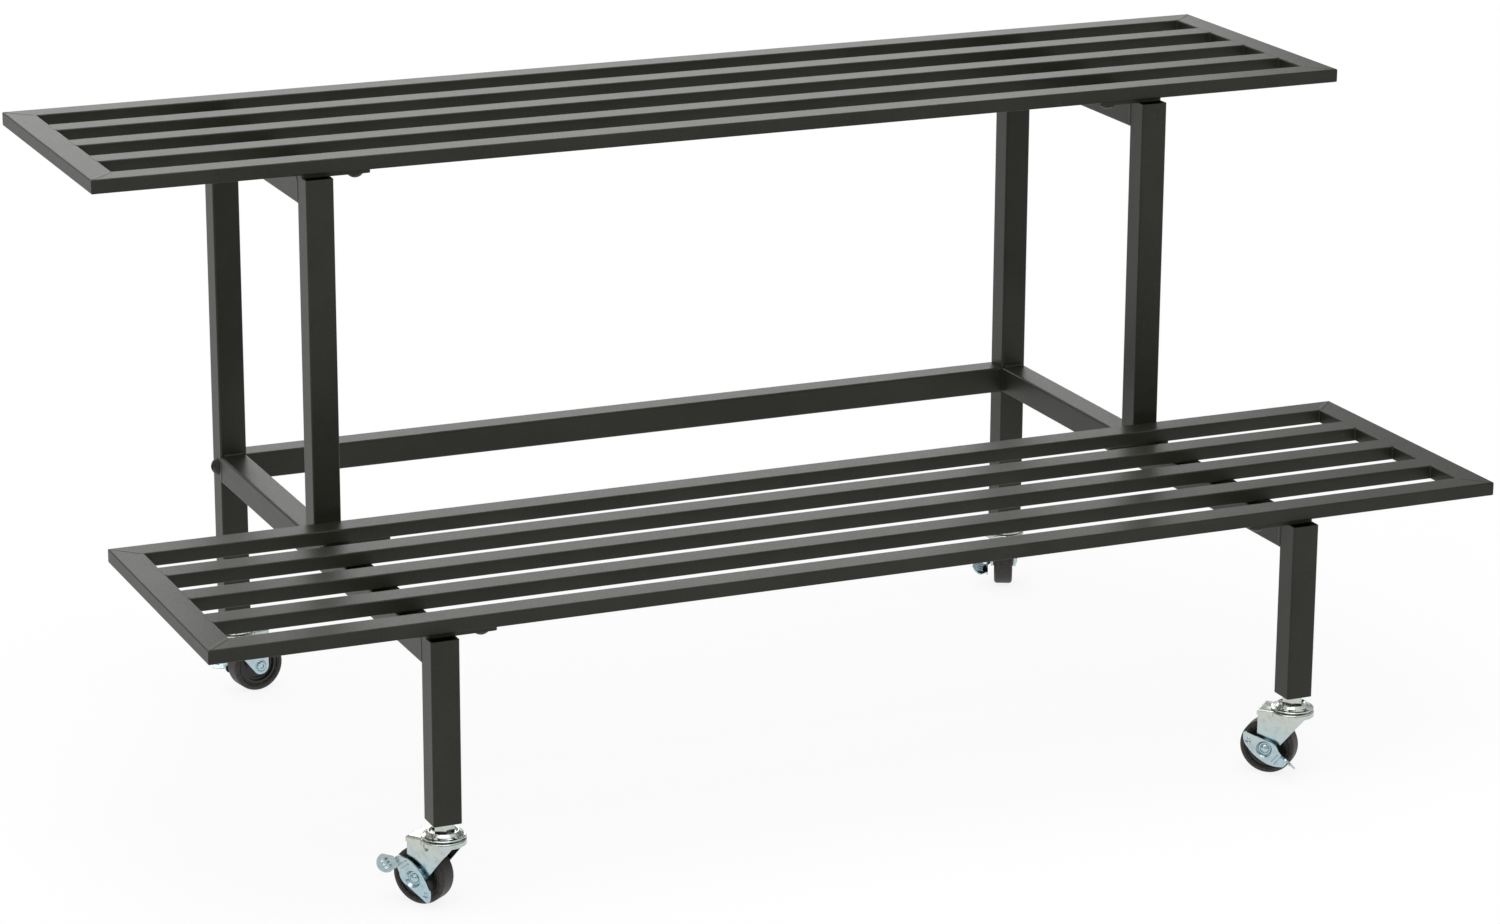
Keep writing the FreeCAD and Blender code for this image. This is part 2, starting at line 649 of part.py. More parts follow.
def caster_lever():
    """Brake lever lying level, pedal end towards +X: dished plate with a pedal bent outward."""
    plate = lever_outline().extrude(axis_y * lever_sheet)
    dish_r = lever_dish_diameter / 2
    floor_r = lever_dish_floor / 2
    floor_inner = cheek_outer + side_clearance
    cup = ((0, floor_inner), (floor_r, floor_inner), (dish_r, lever_inner), (dish_r, lever_plane),
           (floor_r, dish_floor_outer), (0, dish_floor_outer))
    hollow = ((0, dish_floor_outer), (floor_r, dish_floor_outer), (dish_r, lever_plane),
              (dish_r, lever_plane + overrun), (0, lever_plane + overrun))
    plate = plate.cut(revolve(hollow, origin, axis_y)).fuse(revolve(cup, origin, axis_y))
    lever = plate.fuse(pedal())
    for i in range(lever_fold_count):
        place = FreeCAD.Vector(lever_fold_start + i * lever_fold_pitch, lever_plane, -lever_fold_height / 2)
        ridge = Part.makeCylinder(lever_fold_radius, lever_fold_height, place, axis_z)
        lever = lever.fuse(ridge.common(box(0, lever_reach, lever_inner, lever_plane + sheet,
                                            -lever_half_height, lever_half_height)))
    dimple_r = lever_dimple_diameter / 2
    dimple_ball = (dimple_r ** 2 + lever_dimple_depth ** 2) / (2 * lever_dimple_depth)
    spot = FreeCAD.Vector(-lever_dimple_out, lever_plane, lever_dimple_up)
    lever = lever.cut(Part.makeSphere(dimple_ball, spot + axis_y * (dimple_ball - lever_dimple_depth)))
    button_r = lever_button_diameter / 2
    button_ball = (button_r ** 2 + lever_button_height ** 2) / (2 * lever_button_height)
    floor = spot - axis_y * lever_dimple_depth
    keep = Part.makeCylinder(button_r, lever_sheet, floor - axis_y * (lever_dimple_depth / 2), axis_y)
    ball = Part.makeSphere(button_ball, floor + axis_y * (lever_button_height - button_ball))
    lever = lever.fuse(ball.common(keep))
    bore = Part.makeCylinder(axle_radius + running_clearance, 2 * lever_plane, origin, axis_y)
    lever = lever.cut(bore).removeSplitter()
    lever.translate(FreeCAD.Vector(trail, 0, wheel_radius))
    return lever


def caster(name, place):
    """One caster's pieces, turned to its rest direction under a leg."""
    lever = caster_lever()
    axle_point = FreeCAD.Vector(trail, 0, wheel_radius)
    lever.rotate(axle_point, -axis_y, lever_angle[name])
    nut = caster_nut()
    pieces = {"stem": caster_stem(), "fork": caster_fork(), "axle": caster_axle(), "tyre": caster_tyre(),
              "hub": caster_hub(), "brake_lever": lever}
    spot = FreeCAD.Vector(place[0], place[1], 0)
    parts = {}
    for piece, shape in pieces.items():
        shape.rotate(origin, axis_z, caster_trail_angle[name])
        shape.translate(spot)
        parts["%s_caster_%s" % (name, piece)] = shape
    nut.rotate(origin, axis_z, nut_angle_share[name] * full_turn / hexagon_sides)
    nut.translate(spot)
    parts["%s_caster_nut" % name] = nut
    return parts


# How far each lock nut is turned, as a share of one flat.
nut_angle_share = {"front_left": 0.4, "front_right": 0.9, "rear_left": 0.25, "rear_right": 0.6}

legs = {"front_left": (-leg_centre, tube_size / 2), "front_right": (leg_centre, tube_size / 2),
        "rear_left": (-leg_centre, frame_depth - tube_size / 2),
        "rear_right": (leg_centre, frame_depth - tube_size / 2)}

nodes = {}
nodes.update(frame_parts())
nodes.update(shelf_parts("lower", lower_shelf_front, lower_shelf_bottom))
nodes.update(shelf_parts("upper", upper_shelf_front, upper_shelf_bottom))
nodes.update(fixings("lower", lower_shelf_front, lower_frame_top))
nodes.update(fixings("upper", upper_shelf_front, upper_frame_top))
nodes["rear_rail_bolts"] = rear_rail_bolts()
nodes["leg_sockets"] = leg_sockets(legs.values())
for caster_name, caster_place in legs.items():
    nodes.update(caster(caster_name, caster_place))

# The origin is on the floor, under the middle of everything.
bounds = FreeCAD.BoundBox()
for node_shape in nodes.values():
    bounds.add(node_shape.optimalBoundingBox(False, False))
shift = FreeCAD.Vector(-bounds.Center.x, -bounds.Center.y, -bounds.ZMin)

os.makedirs("parts", exist_ok=True)
for node_name, node_shape in nodes.items():
    node_shape.translate(shift)
    node_shape.exportStep("parts/%s.step" % node_name)

print("nodes %d, size %.2f x %.2f x %.2f" % (len(nodes), bounds.XLength, bounds.YLength, bounds.ZLength))
print("shift %.4f %.4f %.4f" % (shift.x, shift.y, shift.z))
for caster_name, caster_place in legs.items():
    turn = math.radians(caster_trail_angle[caster_name])
    stem_point = FreeCAD.Vector(caster_place[0], caster_place[1], crown_top) + shift
    axle_place = FreeCAD.Vector(caster_place[0] + trail * math.cos(turn),
                                caster_place[1] + trail * math.sin(turn), wheel_radius) + shift
    side = FreeCAD.Vector(-math.sin(turn), math.cos(turn), 0)
    print("caster %s stem %.4f %.4f %.4f axle %.4f %.4f %.4f side %.6f %.6f lever %.1f to %.1f" % (
        (caster_name,) + tuple(stem_point) + tuple(axle_place) + (side.x, side.y)
        + (lever_free_angle - lever_angle[caster_name], lever_braked_angle - lever_angle[caster_name])))
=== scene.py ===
import logging
import math
from collections.abc import Iterator
from contextlib import contextmanager
from dataclasses import dataclass, field
from enum import Enum

import bpy
from mathutils import Matrix, Vector


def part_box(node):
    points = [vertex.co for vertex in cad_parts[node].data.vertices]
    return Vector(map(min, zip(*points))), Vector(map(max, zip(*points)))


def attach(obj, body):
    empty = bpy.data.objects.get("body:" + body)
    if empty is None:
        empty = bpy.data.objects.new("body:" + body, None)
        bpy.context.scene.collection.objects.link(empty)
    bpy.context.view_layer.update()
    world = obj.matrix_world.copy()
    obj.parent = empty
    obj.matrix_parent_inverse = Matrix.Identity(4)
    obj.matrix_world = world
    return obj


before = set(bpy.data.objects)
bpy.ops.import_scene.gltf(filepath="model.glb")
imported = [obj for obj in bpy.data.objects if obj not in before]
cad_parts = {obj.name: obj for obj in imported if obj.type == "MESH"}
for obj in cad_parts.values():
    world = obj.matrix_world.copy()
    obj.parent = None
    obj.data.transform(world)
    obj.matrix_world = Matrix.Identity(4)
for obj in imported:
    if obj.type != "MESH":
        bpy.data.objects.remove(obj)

log = logging.getLogger("plant_table")

Socket = bpy.types.NodeSocket
Span = tuple[float, float]
Point = tuple[float, float, float]

MM = 0.001
PHOTO_WIDTH = 1500
X, Y, Z = Vector((1, 0, 0)), Vector((0, 1, 0)), Vector((0, 0, 1))
FULL = (0.0, 1.0)

# The sRGB curve: a straight line for dark shares, a power for the others.
SRGB_DARK = 0.04045
SRGB_SLOPE = 12.92
SRGB_OFFSET = 0.055
SRGB_POWER = 2.4
BYTE_MAX = 255

# A colour Mix node's sockets, by number because the node has each name more than once.
MIX_FIRST = 6
MIX_SECOND = 7
MIX_RESULT = 2


class Grain(Enum):
    """Direction in which a tube was drawn, so in which its faint lines run."""

    ALONG_SHELF = (1.0, 0.0, 0.0)
    FRONT_TO_BACK = (0.0, 1.0, 0.0)
    UPRIGHT = (0.0, 0.0, 1.0)


class Corner(Enum):
    """The four casters' places under the frame."""

    FRONT_LEFT = "front_left"
    FRONT_RIGHT = "front_right"
    REAR_LEFT = "rear_left"
    REAR_RIGHT = "rear_right"


# How each caster stands in the photograph, in degrees: the way that it trails, as a turn about
# the upright from X, and how far its pedal is turned up from that way.
REST_ANGLES = {
    Corner.FRONT_LEFT: (128.0, 52.0),
    Corner.FRONT_RIGHT: (134.0, 217.0),
    Corner.REAR_LEFT: (11.0, 205.0),
    Corner.REAR_RIGHT: (64.0, 208.0),
}


def linear(hex_colour: str) -> tuple[float, float, float, float]:
    """Turn an sRGB hex colour into linear values.

    Args:
        hex_colour: Six hex digits, with or without a leading mark.

    Returns:
        Red, green, blue and an alpha of one.
    """
    digits = hex_colour.lstrip("#")
    shares = [int(digits[i:i + 2], 16) / BYTE_MAX for i in (0, 2, 4)]
    values = [share / SRGB_SLOPE if share <= SRGB_DARK
              else ((share + SRGB_OFFSET) / (1 + SRGB_OFFSET)) ** SRGB_POWER
              for share in shares]
    return (values[0], values[1], values[2], 1.0)


def connect(tree: bpy.types.NodeTree, node: bpy.types.Node,
            links: dict[str | int, Socket]) -> None:
    """Feed a node's inputs.

    Args:
        tree: The node tree.
        node: The node that is fed.
        links: Input names or numbers with the output sockets that feed them.
    """
    for name, output in links.items():
        tree.links.new(output, node.inputs[name])


def add_node(tree: bpy.types.NodeTree, kind: str, settings: dict[str, object] | None = None,
             links: dict[str | int, Socket] | None = None) -> bpy.types.Node:
    """Add one node with its settings and links.

    Args:
        tree: The node tree that gets the node.
        kind: The node's type name.
        settings: Attribute names, or input names in brackets, with their values.
        links: Input names or numbers with the output sockets that feed them.

    Returns:
        The new node.
    """
    node = tree.nodes.new(kind)
    for name, value in (settings or {}).items():
        if name.startswith("["):
            node.inputs[name[1:-1]].default_value = value
        else:
            setattr(node, name, value)
    connect(tree, node, links or {})
    return node


def new_material(name: str) -> tuple[bpy.types.Material, bpy.types.NodeTree, bpy.types.Node,
                                     Socket]:
    """Make an empty node material with a surface shader.

    Args:
        name: The material's name.

    Returns:
        The material, its tree, its main shader and its object coordinates.
    """
    material = bpy.data.materials.new(name)
    material.use_nodes = True
    tree = material.node_tree
    tree.nodes.clear()
    shader = add_node(tree, "ShaderNodeBsdfPrincipled")
    add_node(tree, "ShaderNodeOutputMaterial", links={"Surface": shader.outputs["BSDF"]})
    coords = add_node(tree, "ShaderNodeTexCoord")
    return material, tree, shader, coords.outputs["Object"]


def ramp(tree: bpy.types.NodeTree, source: Socket, span: Span, result: Span = FULL) -> Socket:
    """Map a pattern's values to another range.

    Args:
        tree: The node tree.
        source: The pattern's output.
        span: The two pattern values at which the range ends.
        result: What they are mapped to.

    Returns:
        The mapped output.
    """
    node = add_node(tree, "ShaderNodeMapRange",
                    {"[From Min]": span[0], "[From Max]": span[1],
                     "[To Min]": result[0], "[To Max]": result[1]},
                    {"Value": source})
    return node.outputs["Result"]


def blend_colours(tree: bpy.types.NodeTree, share: Socket, first: str | Socket,
                  second: str | Socket) -> Socket:
    """Blend two colours by a pattern.

    Args:
        tree: The node tree.
        share: Output that gives the second colour's share.
        first: Hex colour or colour output at zero.
        second: Hex colour or colour output at one.

    Returns:
        The colour output.
    """
    node = add_node(tree, "ShaderNodeMix", {"data_type": "RGBA"}, {"Factor": share})
    for number, colour in ((MIX_FIRST, first), (MIX_SECOND, second)):
        if isinstance(colour, str):
            node.inputs[number].default_value = linear(colour)
        else:
            tree.links.new(colour, node.inputs[number])
    return node.outputs[MIX_RESULT]


@dataclass(frozen=True)
class Pattern:
    """A noise pattern: the size of its grain, its finer layers and how strong these are."""

    size_mm: float
    detail: float
    roughness: float = 0.5

    def build(self, tree: bpy.types.NodeTree, place: Socket) -> Socket:
        """Add the pattern.

        Args:
            tree: The node tree.
            place: Output with the coordinates.

        Returns:
            The pattern's output.
        """
        node = add_node(tree, "ShaderNodeTexNoise",
                        {"[Scale]": 1 / (self.size_mm * MM), "[Detail]": self.detail,
                         "[Roughness]": self.roughness},
                        {"Vector": place})
        return node.outputs["Fac"]


@dataclass(frozen=True)
class Relief:
    """How strongly and how deeply a pattern bends the light as bumps."""

    strength: float
    depth_mm: float

    def build(self, tree: bpy.types.NodeTree, height: Socket,
              under: Socket | None = None) -> Socket:
        """Add the bumps.

        Args:
            tree: The node tree.
            height: The pattern's output.
            under: Output of the bumps below these, if there are any.

        Returns:
            The output for the next bumps or the shader's normal.
        """
        links = {"Height": height}
        if under is not None:
            links["Normal"] = under
        node = add_node(tree, "ShaderNodeBump",
                        {"[Strength]": self.strength, "[Distance]": self.depth_mm * MM}, links)
        return node.outputs["Normal"]


@dataclass(frozen=True)
class PowderCoat:
    """Satin black polyester powder coat baked on drawn steel tube.

    It gives a soft sheen at a low angle, a fine orange-peel grain, faint draw lines, a few pale
    scuffs and here and there a dust nib baked into the film.
    """

    name: str
    grain: Grain
    base: str = "#1D1D16"
    rubbed: str = "#27281F"
    scuff: str = "#55554F"
    speck: str = "#2B2B24"
    roughness: Span = (0.36, 0.46)
    sheen_level: float = 0.30
    lines: Pattern = Pattern(2.6, 4.0, 0.6)
    line_squeeze: float = 0.02
    line_relief: Relief = Relief(0.10, 0.04)
    peel: Pattern = Pattern(1.3, 3.0)
    peel_span: Span = (0.3, 0.7)
    peel_relief: Relief = Relief(0.45, 0.12)
    specks: Pattern = Pattern(0.9, 2.0)
    speck_span: Span = (0.5, 0.72)
    clouds: Pattern = Pattern(60.0, 5.0)
    cloud_span: Span = (0.35, 0.7)
    scuffs: Pattern = Pattern(9.0, 8.0, 0.75)
    scuff_span: Span = (0.64, 0.78)
    scuff_cover: float = 0.6
    nib_spacing_mm: float = 38.0
    nib_share: float = 0.022
    nib_foot: float = 1.6
    nib_relief: Relief = Relief(0.8, 0.5)

    def build(self) -> bpy.types.Material:
        """Make the material.

        Returns:
            The powder coat for tubes drawn along the grain.
        """
        material, tree, shader, place = new_material(self.name)
        squeeze = tuple(self.line_squeeze if share else 1.0 for share in self.grain.value)
        stretched = add_node(tree, "ShaderNodeMapping", {"[Scale]": squeeze}, {"Vector": place})
        lines = self.lines.build(tree, stretched.outputs["Vector"])
        peel = self.peel.build(tree, place)
        specks = self.specks.build(tree, place)
        clouds = self.clouds.build(tree, place)
        scuffs = self.scuffs.build(tree, place)
        nibs = add_node(tree, "ShaderNodeTexVoronoi",
                        {"[Scale]": 1 / (self.nib_spacing_mm * MM)}, {"Vector": place})
        nib_span = (self.nib_share, self.nib_share * self.nib_foot)
        nib = ramp(tree, nibs.outputs["Distance"], nib_span, (1.0, 0.0))

        even = blend_colours(tree, ramp(tree, clouds, self.cloud_span), self.base, self.rubbed)
        grainy = blend_colours(tree, ramp(tree, specks, self.speck_span), even, self.speck)
        worn_share = ramp(tree, scuffs, self.scuff_span, (0.0, self.scuff_cover))
        worn = blend_colours(tree, worn_share, grainy, self.scuff)
        peeled = self.peel_relief.build(tree, peel)
        drawn = self.line_relief.build(tree, lines, peeled)
        connect(tree, shader, {
            "Base Color": worn,
            "Roughness": ramp(tree, peel, self.peel_span, self.roughness),
            "Normal": self.nib_relief.build(tree, nib, drawn)})
        shader.inputs["Specular IOR Level"].default_value = self.sheen_level
        return material


@dataclass(frozen=True)
class ZincPlate:
    """Bright zinc plate with a clear blue passivate on pressed steel.

    It gives a cool, nearly mirror-like metal with faint smears, fine press marks and the soft
    waves of drawn sheet, which bend what it reflects. By height the colour is painted from pale
    blue low down to warm grey at the crown, a painted reflection of the bluish tint on the lower parts.
    """

    name: str = "bright_zinc_plate"
    cool: str = "#B0C7CF"
    warm: str = "#C8C9BF"
    shade: str = "#95A0A1"
    roughness: Span = (0.10, 0.23)
    tints: Pattern = Pattern(34.0, 1.0)
    tint_span: Span = (0.32, 0.68)
    tint_share: float = 0.35
    smears: Pattern = Pattern(5.0, 3.0)
    smear_span: Span = (0.48, 0.78)
    smear_cover: float = 0.45
    dull_span: Span = (0.35, 0.7)
    scratches: Pattern = Pattern(0.7, 2.0)
    scratch_relief: Relief = Relief(0.15, 0.02)
    waves: Pattern = Pattern(11.0, 0.0)
    wave_relief: Relief = Relief(1.0, 0.55)
    # Heights and share of the painted reflection: pale blue below the first height, warm grey towards the second.
    reflection_cool_below_mm: float = 28.0
    reflection_warm_above_mm: float = 64.0
    reflection_warm_share: float = 0.65

    def build(self) -> bpy.types.Material:
        """Make the material.

        Returns:
            The zinc plate.
        """
        material, tree, shader, place = new_material(self.name)
        tints = self.tints.build(tree, place)
        smears = self.smears.build(tree, place)
        scratches = self.scratches.build(tree, place)
        waves = self.waves.build(tree, place)
        # Painted reflection: by height, the colour turns from pale blue low down to warm grey higher up.
        level = add_node(tree, "ShaderNodeSeparateXYZ", links={"Vector": place})
        heights = (self.reflection_cool_below_mm * MM, self.reflection_warm_above_mm * MM)
        painted_reflection_share = ramp(tree, level.outputs["Z"], heights, (0.0, self.reflection_warm_share))
        drift = ramp(tree, tints, self.tint_span, (0.0, self.tint_share))
        share = add_node(tree, "ShaderNodeMath", {"operation": "ADD"}, {0: painted_reflection_share, 1: drift})

        clean = blend_colours(tree, share.outputs[0], self.cool, self.warm)
        smeared = ramp(tree, smears, self.smear_span, (0.0, self.smear_cover))
        connect(tree, shader, {
            "Base Color": blend_colours(tree, smeared, clean, self.shade),
            "Roughness": ramp(tree, smears, self.dull_span, self.roughness),
            "Normal": self.scratch_relief.build(tree, scratches,
                                                self.wave_relief.build(tree, waves))})
        shader.inputs["Metallic"].default_value = 1.0
        return material


@dataclass(frozen=True)
class MouldedBlack:
    """Moulded rubber or nylon: a dark, slightly dusty skin with a fine grain."""

    name: str
    base: str
    dust: str
    roughness: Span
    grain: Pattern = Pattern(0.6, 3.0)
    grain_relief: Relief = Relief(0.3, 0.05)
    clouds: Pattern = Pattern(9.0, 6.0)
    dust_span: Span = (0.4, 0.7)
    dull_span: Span = (0.3, 0.7)

    def build(self) -> bpy.types.Material:
        """Make the material.

        Returns:
            The moulded material.
        """
        material, tree, shader, place = new_material(self.name)
        clouds = self.clouds.build(tree, place)
        grain = self.grain.build(tree, place)
        dusty = ramp(tree, clouds, self.dust_span)
        connect(tree, shader, {
            "Base Color": blend_colours(tree, dusty, self.base, self.dust),
            "Roughness": ramp(tree, clouds, self.dull_span, self.roughness),
            "Normal": self.grain_relief.build(tree, grain)})
        return material


@dataclass
class Finishes:
    """All finishes of the table, made once and shared."""

    coat_along: bpy.types.Material = field(init=False)
    coat_across: bpy.types.Material = field(init=False)
    coat_upright: bpy.types.Material = field(init=False)
    zinc: bpy.types.Material = field(init=False)
    rubber: bpy.types.Material = field(init=False)
    nylon: bpy.types.Material = field(init=False)
    plug: bpy.types.Material = field(init=False)

    def __post_init__(self) -> None:
        """Build every finish."""
        self.coat_along = PowderCoat("black_powder_coat_along", Grain.ALONG_SHELF).build()
        self.coat_across = PowderCoat("black_powder_coat_across", Grain.FRONT_TO_BACK).build()
        self.coat_upright = PowderCoat("black_powder_coat_upright", Grain.UPRIGHT).build()
        self.zinc = ZincPlate().build()
        self.rubber = MouldedBlack("wheel_rubber", "#1D1A17", "#393630", roughness=(0.42, 0.62),
                                   grain=Pattern(0.5, 3.0), clouds=Pattern(3.0, 6.0)).build()
        self.nylon = MouldedBlack("wheel_hub_nylon", "#141413", "#232321",
                                  roughness=(0.28, 0.42)).build()
        self.plug = MouldedBlack("leg_plug", "#161616", "#1F1F1E", roughness=(0.5, 0.6)).build()


def paint(node: bpy.types.Object, material: bpy.types.Material) -> None:
    """Give one object a single finish.

    Args:
        node: The object.
        material: Its finish.
    """
    node.data.materials.clear()
    node.data.materials.append(material)


def corners_of(node: str) -> tuple[Vector, Vector]:
    """Measure a modelled node at rest.

    Args:
        node: The node's name.

    Returns:
        Its lowest and its highest corner.
    """
    low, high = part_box(node)
    return Vector(low), Vector(high)


@contextmanager
def editing() -> Iterator[None]:
    """Hold the active object in edit mode, with its whole mesh selected at the start."""
    bpy.ops.object.mode_set(mode="EDIT")
    bpy.ops.mesh.select_all(action="SELECT")
    yield
    bpy.ops.object.mode_set(mode="OBJECT")


def repeat_along_x(piece: bpy.types.Object, count: int, pitch: float) -> None:
    """Repeat the active piece in a row along X, in its own mesh.

    Args:
        piece: The piece, which is the active object.
        count: How many there are in the end.
        pitch: The step from one to the next.
    """
    row = piece.modifiers.new("row", "ARRAY")
    row.count = count
    row.use_relative_offset = False
    row.use_constant_offset = True
    row.constant_offset_displace = (pitch, 0.0, 0.0)
    bpy.ops.object.modifier_apply(modifier=row.name)


def copy_placed(piece: bpy.types.Object, place: Matrix) -> bpy.types.Object:
    """Copy a modelled piece with a mesh of its own, moved to its place.

    Args:
        piece: The piece modelled at the origin.
        place: Where the copy goes.

    Returns:
        The copy, with its place in its mesh.
    """
    copy = piece.copy()
    copy.data = piece.data.copy()
    copy.data.transform(place)
    bpy.context.collection.objects.link(copy)
    return copy


def joined(pieces: list[bpy.types.Object], name: str, material: bpy.types.Material, body: str) -> bpy.types.Object:
    """Join pieces to one, paint it and let it ride on a body.

    Args:
        pieces: The pieces to join.
        name: The new piece's name.
        material: Its finish.
        body: The body that it moves with.

    Returns:
        The joined piece.
    """
    bpy.ops.object.select_all(action="DESELECT")
    for piece in pieces:
        piece.select_set(True)
    bpy.context.view_layer.objects.active = pieces[0]
    if len(pieces) > 1:
        bpy.ops.object.join()
    whole = bpy.context.view_layer.objects.active
    whole.name = name
    paint(whole, material)
    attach(whole, body)
    log.info("%s made", name)
    return whole


def seam_place(point: Vector, along: Vector, out: Vector) -> Matrix:
    """Work out where a bead goes.

    Args:
        point: The seam's middle.
        along: Unit direction of the seam.
        out: Unit direction that faces away from the joint.

    Returns:
        The matrix that takes a bead from the origin to the seam.
    """
    across = out.cross(along)
    turn = Matrix((along, across, out)).transposed().to_4x4()
    return Matrix.Translation(point) @ turn


@dataclass(frozen=True)
class WeldBead:
    """One run of weld along X: round puddles laid over each other and melted into a ridge.

    A crown under one gives the flat trace that is left where the ridge was dressed.
    """

    length: float
    radius: float
    pitch: float
    crown: float = 1.0
    segments: int = 14
    rings: int = 9
    puddle_squeeze: float = 0.62
    voxels_per_radius: float = 4.5
    flow: float = 0.5
    flow_rounds: int = 2

    def build(self) -> bpy.types.Object:
        """Model the bead at the origin.

        Returns:
            The bead.
        """
        count = max(2, round((self.length - 2 * self.radius) / self.pitch) + 1)
        start = -self.pitch * (count - 1) / 2
        bpy.ops.object.select_all(action="DESELECT")
        bpy.ops.mesh.primitive_uv_sphere_add(segments=self.segments, ring_count=self.rings,
                                             radius=self.radius)
        bead = bpy.context.object
        with editing():
            bpy.ops.transform.resize(value=(self.puddle_squeeze, 1.0, 1.0),
                                     center_override=(0.0, 0.0, 0.0))
            bpy.ops.transform.translate(value=(start, 0.0, 0.0))
        repeat_along_x(bead, count, self.pitch)
        melt = bead.modifiers.new("melt", "REMESH")
        melt.mode = "VOXEL"
        melt.voxel_size = self.radius / self.voxels_per_radius
        bpy.ops.object.modifier_apply(modifier=melt.name)
        flow = bead.modifiers.new("flow", "SMOOTH")
        flow.factor = self.flow
        flow.iterations = self.flow_rounds
        bpy.ops.object.modifier_apply(modifier=flow.name)
        with editing():
            bpy.ops.transform.resize(value=(1.0, 1.0, self.crown),
                                     center_override=(0.0, 0.0, 0.0))
        bpy.ops.object.shade_smooth()
        return bead

    def lay(self, places: list[Matrix]) -> list[bpy.types.Object]:
        """Lay one bead on each seam.

        Args:
            places: Where the beads go.

        Returns:
            The beads in their places.
        """
        first = self.build()
        beads = [copy_placed(first, place) for place in places]
        bpy.data.objects.remove(first)
        return beads


@dataclass
class TableFrame:
    """The welded square-tube frame with its rails, posts, legs and fixings."""

    finishes: Finishes
    fillet: WeldBead = WeldBead(length=21.0 * MM, radius=2.3 * MM, pitch=1.7 * MM)
    dressed: WeldBead = WeldBead(length=23.0 * MM, radius=2.6 * MM, pitch=1.7 * MM, crown=0.16)

    def dress(self) -> None:
        """Give each frame tube the powder coat that runs along it, and the plugs theirs."""
        for name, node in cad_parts.items():
            if name == "leg_sockets":
                paint(node, self.finishes.plug)
            elif "leg" in name or "post" in name:
                paint(node, self.finishes.coat_upright)
            elif name.startswith(("side_rail", "cross_rail")):
                paint(node, self.finishes.coat_across)
            elif name == "rear_rail" or name.endswith(("_tabs", "_bolts")):
                paint(node, self.finishes.coat_along)
        log.info("frame dressed")

    def weld(self, side: str) -> None:
        """Lay the weld beads of one side's joints.

        Args:
            side: Left or right.
        """
        rail_low, rail_high = corners_of("side_rail_" + side)
        cross_low, cross_high = corners_of("cross_rail_" + side)
        post_low, post_high = corners_of("middle_post_" + side)
        middle = (rail_low.x + rail_high.x) / 2
        corners = ((rail_low.y, rail_low.z, Y - Z), (rail_high.y, rail_low.z, -Y - Z),
                   (rail_high.y, rail_high.z, Z - Y), (post_low.y, rail_high.z, Z - Y),
                   (post_high.y, rail_high.z, Z + Y), (cross_low.y, cross_low.z, Y - Z),
                   (cross_high.y, cross_low.z, -Y - Z))
        beads = self.fillet.lay([seam_place(Vector((middle, row, level)), X, out.normalized())
                                 for row, level, out in corners])
        seams = []
        for face, out in ((rail_low.x, -X), (rail_high.x, X)):
            for low, high in ((rail_low, rail_high), (cross_low, cross_high)):
                height = (low.z + high.z) / 2
                seams.append(seam_place(Vector((face, low.y, height)), Z, out))
                seams.append(seam_place(Vector((face, high.y, height)), Z, out))
            foot = Vector((face, (post_low.y + post_high.y) / 2, rail_high.z))
            seams.append(seam_place(foot, Y, out))
        beads += self.dressed.lay(seams)
        joined(beads, "frame_welds_" + side, self.finishes.coat_across, "frame")


@dataclass
class Shelf:
    """One slatted shelf of flat tube."""

    tier: str
    finishes: Finishes
    corner: WeldBead = WeldBead(length=11.0 * MM, radius=1.35 * MM, pitch=1.2 * MM)
    mitre: WeldBead = WeldBead(length=32.0 * MM, radius=2.2 * MM, pitch=1.2 * MM, crown=0.10)
    butt: WeldBead = WeldBead(length=23.6 * MM, radius=1.5 * MM, pitch=1.2 * MM, crown=0.12)
    butt_shift: float = 0.6 * MM

    def dress(self) -> None:
        """Give each shelf member the powder coat that runs along it."""
        for name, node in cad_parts.items():
            if not name.startswith(self.tier + "_"):
                continue
            if name.endswith("_end"):
                paint(node, self.finishes.coat_across)
            elif name.endswith("_rail") or "_slat_" in name:
                paint(node, self.finishes.coat_along)
        log.info("%s shelf dressed", self.tier)

    def weld(self) -> None:
        """Lay the beads in the slots' corners and the dressed seams on mitres and slat ends."""
        left_low, left_high = corners_of(self.tier + "_left_end")
        right_low, right_high = corners_of(self.tier + "_right_end")
        members = [corners_of("%s_%s" % (self.tier, name))
                   for name in ("front_rail", "slat_1", "slat_2", "slat_3", "back_rail")]
        members.sort(key=lambda pair: pair[0].y)

        height = (left_low.z + left_high.z) / 2
        places = []
        for front, back in zip(members, members[1:]):
            for edge, inward in ((left_high.x, X), (right_low.x, -X)):
                for row, facing in ((front[1].y, Y), (back[0].y, -Y)):
                    out = (inward + facing).normalized()
                    places.append(seam_place(Vector((edge, row, height)), Z, out))
        beads = self.corner.lay(places)

        places = []
        for outer, inner, sign in ((left_low.x, left_high.x, 1), (right_high.x, right_low.x, -1)):
            for edge, row, turn in ((left_low.y, members[0][1].y, 1),
                                    (left_high.y, members[-1][0].y, -1)):
                along = Vector((sign, turn, 0)).normalized()
                for level, out in ((left_high.z, Z), (left_low.z, -Z)):
                    centre = Vector(((outer + inner) / 2, (edge + row) / 2, level))
                    places.append(seam_place(centre, along, out))
        beads += self.mitre.lay(places)

        places = []
        for low, high in members[1:-1]:
            for edge, outward in ((left_high.x, -X), (right_low.x, X)):
                for level, out in ((left_high.z, Z), (left_low.z, -Z)):
                    centre = Vector((edge, (low.y + high.y) / 2, level))
                    places.append(seam_place(centre + outward * self.butt_shift, Y, out))
        beads += self.butt.lay(places)
        joined(beads, self.tier + "_shelf_welds", self.finishes.coat_along, "frame")


